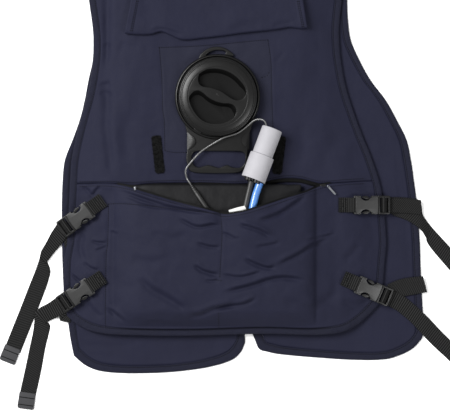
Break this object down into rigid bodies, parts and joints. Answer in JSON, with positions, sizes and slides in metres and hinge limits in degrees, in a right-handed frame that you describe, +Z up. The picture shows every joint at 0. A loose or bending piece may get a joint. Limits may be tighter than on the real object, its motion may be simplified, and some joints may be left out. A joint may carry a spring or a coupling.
{
  "type": "water-cooled cooling vest",
  "caption": "Navy cooling vest lying on its front: back panel with filler port, open zip pocket with water bag and pump, and buckled side straps.",
  "frame": {"origin": "centre of the bounding box at the floor that the vest lies on", "axes": "+Z up from the floor, +Y from the hem to the neck, +X across the vest to the right as seen from above"},
  "size_m": [0.6896, 0.6879, 0.0506],
  "materials": {
    "navy_cloth": "navy woven shell, matt",
    "navy_binding": "navy binding tape, matt",
    "black_web": "black ribbed webbing",
    "black_tape": "black zip tape and hook tape",
    "black_plastic": "black moulded plastic, satin",
    "bag_film": "black coated film, satin",
    "grey_plastic": "light grey moulded plastic, satin",
    "blue_rubber": "blue flexible hose",
    "black_rubber": "black flexible hose and cable",
    "white_tag": "white woven tag, blank",
    "zip_metal": "bare metal zip slider"
  },
  "bodies": {
    "vest": {"back_panel": "navy_cloth", "front_panel_left": "navy_cloth", "front_panel_right": "navy_cloth", "pocket_front": "navy_cloth", "port_flap": "navy_cloth", "back_binding": "navy_binding", "back_neck_binding": "navy_binding", "front_binding_left": "navy_binding", "front_binding_right": "navy_binding", "anchor_web_left_upper": "black_web", "anchor_web_left_lower": "black_web", "anchor_web_right_upper": "black_web", "anchor_web_right_lower": "black_web", "strap_web_left_upper": "black_web", "strap_web_left_lower": "black_web", "strap_web_right_upper": "black_web", "strap_web_right_lower": "black_web", "zip_tape_upper": "black_tape", "zip_tape_lower": "black_tape", "hook_tape_left": "black_tape", "hook_tape_right": "black_tape", "port_collar": "black_plastic", "zip_puller": "black_plastic", "buckle_socket_left_upper": "black_plastic", "buckle_socket_left_lower": "black_plastic", "buckle_socket_right_upper": "black_plastic", "buckle_socket_right_lower": "black_plastic", "buckle_ladder_left_upper": "black_plastic", "buckle_ladder_left_lower": "black_plastic", "buckle_ladder_right_upper": "black_plastic", "buckle_ladder_right_lower": "black_plastic", "strap_tip_left_upper": "black_plastic", "strap_tip_left_lower": "black_plastic", "strap_tip_right_upper": "black_plastic", "strap_tip_right_lower": "black_plastic", "water_bag": "bag_film", "pump_upper": "grey_plastic", "pump_lower": "grey_plastic", "hose_blue": "blue_rubber", "hose_black": "black_rubber", "pump_cable": "black_rubber", "cable_sleeve": "black_rubber", "pocket_tag": "white_tag", "zip_slider_left": "zip_metal", "zip_slider_right": "zip_metal"},
    "cap": {"port_cap": "black_plastic"}
  },
  "joints": [
    {"name": "cap_turn", "type": "hinge", "parent": "vest", "child": "cap", "pos_m": [-0.04015, 0.07388, 0.03], "axis": [0, 0, 1], "range_deg": [0, 90]}
  ]
}
